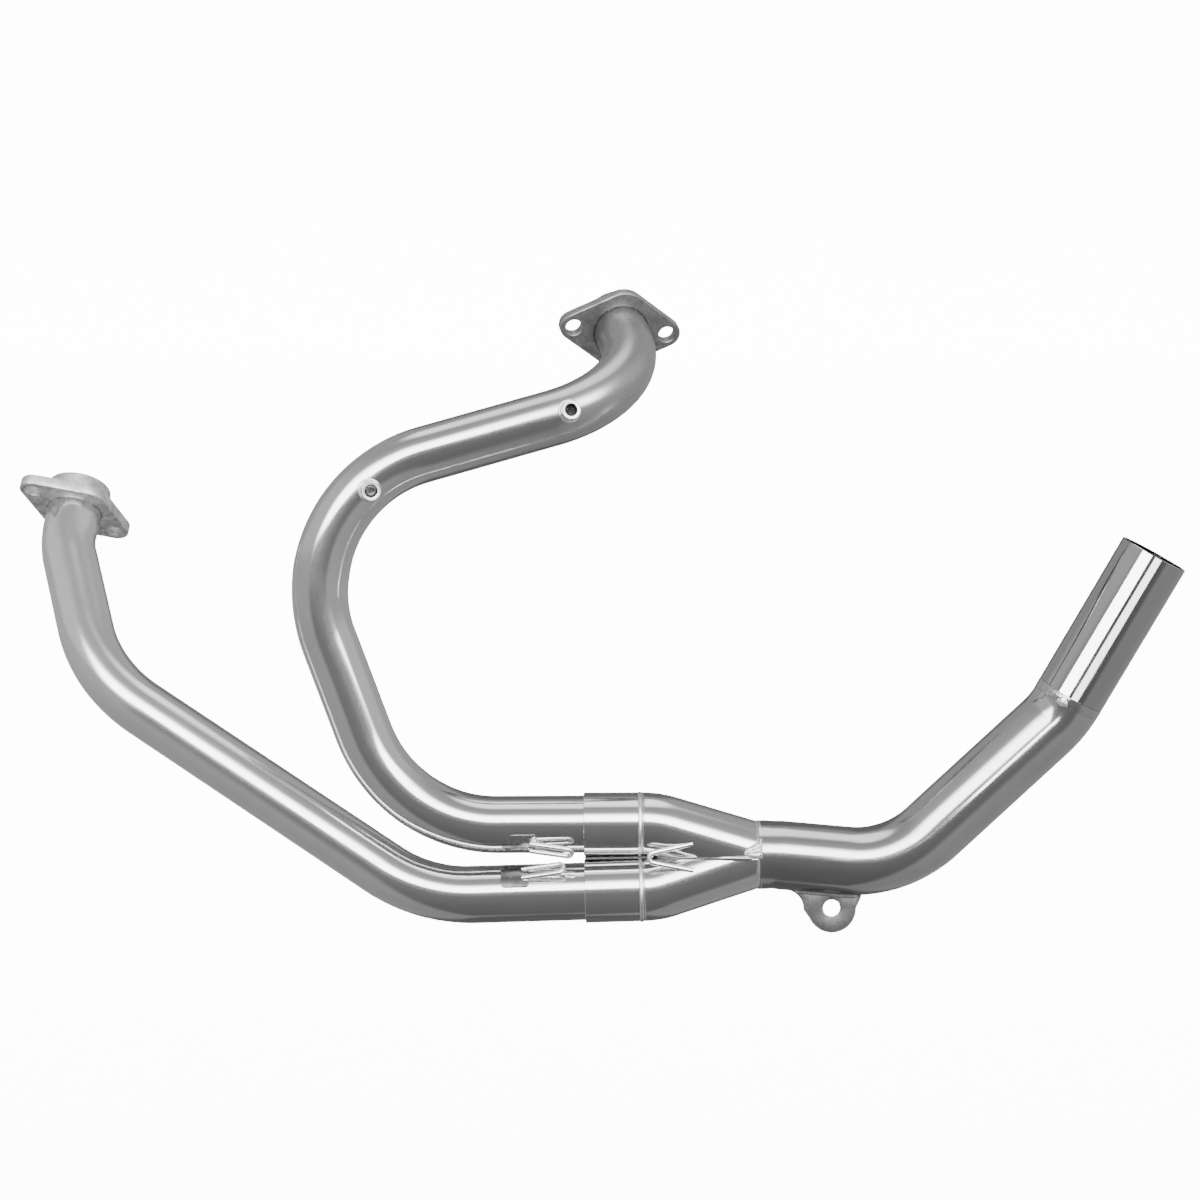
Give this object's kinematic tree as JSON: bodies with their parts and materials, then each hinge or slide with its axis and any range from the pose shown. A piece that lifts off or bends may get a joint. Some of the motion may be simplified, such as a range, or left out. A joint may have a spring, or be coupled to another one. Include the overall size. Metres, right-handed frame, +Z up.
{
  "type": "motorcycle exhaust header",
  "caption": "Two-into-one exhaust header for a V-twin: bent tubes with two-hole port flanges, a merge collector with spring hooks, and an upturned outlet with a hanger tab.",
  "frame": {"origin": "centre of the hanger tab's bolt hole, in the middle of the tab's thickness", "axes": "+X along the collector towards the outlet, +Y into the engine side and along the hanger hole, +Z up"},
  "size_m": [0.8352, 0.2002, 0.4649],
  "materials": {
    "header_steel": "polished, fine lengthwise brushing",
    "collector_steel": "polished",
    "outlet_steel": "polished",
    "flange_cast": "rough, dull plating",
    "tab_steel": "dull, slightly mottled",
    "weld": "rippled weld, part polished",
    "hook_steel": "bright drawn wire and pressed pad",
    "boss_steel": "bright turned steel",
    "plug_steel": "dull plug"
  },
  "bodies": {
    "root": {"front_header_tube": "header_steel", "rear_header_tube": "header_steel", "front_port_flange": "flange_cast", "rear_port_flange": "flange_cast", "front_port_collar": "flange_cast", "rear_port_collar": "flange_cast", "front_slip_sleeve": "collector_steel", "rear_slip_sleeve": "collector_steel", "front_sleeve_weld": "weld", "rear_sleeve_weld": "weld", "collector_front_leg": "collector_steel", "collector_rear_leg": "collector_steel", "collector_seam_weld": "weld", "neck_weld": "weld", "collector_hook": "hook_steel", "front_hook_saddle": "hook_steel", "front_hook_loop": "hook_steel", "rear_hook_saddle": "hook_steel", "rear_hook_loop": "hook_steel", "upper_test_boss": "boss_steel", "lower_test_boss": "boss_steel", "lower_test_plug": "plug_steel", "outlet_tube": "outlet_steel", "tail_weld": "weld", "outlet_tail": "outlet_steel", "hanger_tab": "tab_steel", "hanger_weld": "weld"}
  },
  "joints": []
}
